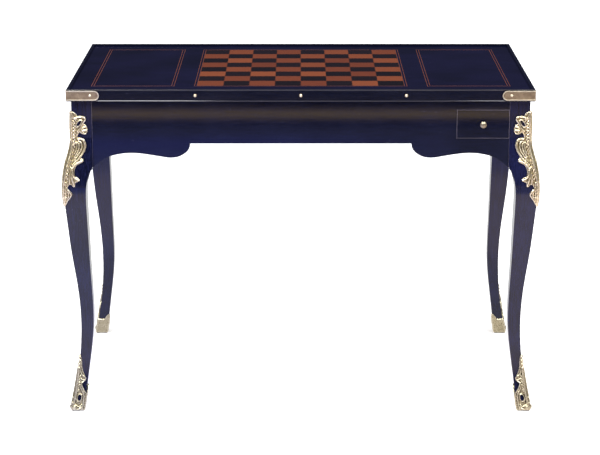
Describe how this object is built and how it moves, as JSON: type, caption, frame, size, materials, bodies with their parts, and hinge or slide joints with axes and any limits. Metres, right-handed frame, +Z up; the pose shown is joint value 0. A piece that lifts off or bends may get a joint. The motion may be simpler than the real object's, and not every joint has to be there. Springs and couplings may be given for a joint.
{
  "type": "tric-trac table",
  "caption": "Ebonised games table on cabriole legs with gilt leaf mounts, a lift-off chessboard lid over an inlaid tric-trac well, and opposed small drawers",
  "frame": {"origin": "floor level, under the middle of the table", "axes": "+X along the table to the right seen from the front, +Y from front to back, +Z up"},
  "size_m": [1.07, 0.63, 0.75],
  "materials": {
    "ebonised_wood": "black stained and French polished pearwood",
    "ebonised_veneer": "black stained and French polished pearwood veneer",
    "light_veneer": "polished orange brown padouk veneer",
    "dark_veneer": "polished black stained veneer",
    "red_stringing": "polished red brown stringing",
    "gilt_bronze": "chased and gilt cast bronze",
    "polished_brass": "polished and aged brass",
    "bone": "turned bone",
    "green_baize": "felted green wool",
    "well_veneer": "polished rosewood veneer",
    "oak": "bare planed oak"
  },
  "bodies": {
    "frame": {"back_left_knee_mount": "gilt_bronze", "back_left_leg": "ebonised_wood", "back_left_shoe": "gilt_bronze", "back_rail": "ebonised_wood", "back_right_knee_mount": "gilt_bronze", "back_right_leg": "ebonised_wood", "back_right_shoe": "gilt_bronze", "centre_bar": "well_veneer", "dark_points": "dark_veneer", "front_left_knee_mount": "gilt_bronze", "front_left_leg": "ebonised_wood", "front_left_shoe": "gilt_bronze", "front_rail": "ebonised_wood", "front_right_knee_mount": "gilt_bronze", "front_right_leg": "ebonised_wood", "front_right_shoe": "gilt_bronze", "left_end_cover": "well_veneer", "left_inner_runner": "oak", "left_outer_runner": "oak", "left_partition": "well_veneer", "left_rail": "ebonised_wood", "light_points": "light_veneer", "mount_pins": "gilt_bronze", "right_end_cover": "well_veneer", "right_inner_runner": "oak", "right_outer_runner": "oak", "right_partition": "well_veneer", "right_rail": "ebonised_wood", "score_bushes": "bone", "well_floor": "well_veneer"},
    "lid": {"back_left_strap": "polished_brass", "back_right_strap": "polished_brass", "chess_dark_squares": "dark_veneer", "chess_light_squares": "light_veneer", "chess_stringing": "red_stringing", "edge_studs": "polished_brass", "front_left_strap": "polished_brass", "front_right_strap": "polished_brass", "left_panel_stringing": "red_stringing", "lid_back_rim": "ebonised_wood", "lid_baize": "green_baize", "lid_front_rim": "ebonised_wood", "lid_left_rim": "ebonised_wood", "lid_panel": "oak", "lid_right_rim": "ebonised_wood", "lid_veneer": "ebonised_veneer", "right_panel_stringing": "red_stringing", "strap_screws": "polished_brass"},
    "front_drawer": {"front_drawer_back": "oak", "front_drawer_bottom": "oak", "front_drawer_front": "ebonised_wood", "front_drawer_knob": "polished_brass", "front_drawer_left_side": "oak", "front_drawer_right_side": "oak"},
    "back_drawer": {"back_drawer_back": "oak", "back_drawer_bottom": "oak", "back_drawer_front": "ebonised_wood", "back_drawer_knob": "polished_brass", "back_drawer_left_side": "oak", "back_drawer_right_side": "oak"}
  },
  "joints": [
    {"name": "lid_lift", "type": "slide", "parent": "frame", "child": "lid", "axis": [0, 0, 1], "range_m": [0, 0.3]},
    {"name": "front_drawer_slide", "type": "slide", "parent": "frame", "child": "front_drawer", "axis": [0, -1, 0], "range_m": [0, 0.4]},
    {"name": "back_drawer_slide", "type": "slide", "parent": "frame", "child": "back_drawer", "axis": [0, 1, 0], "range_m": [0, 0.4]}
  ]
}
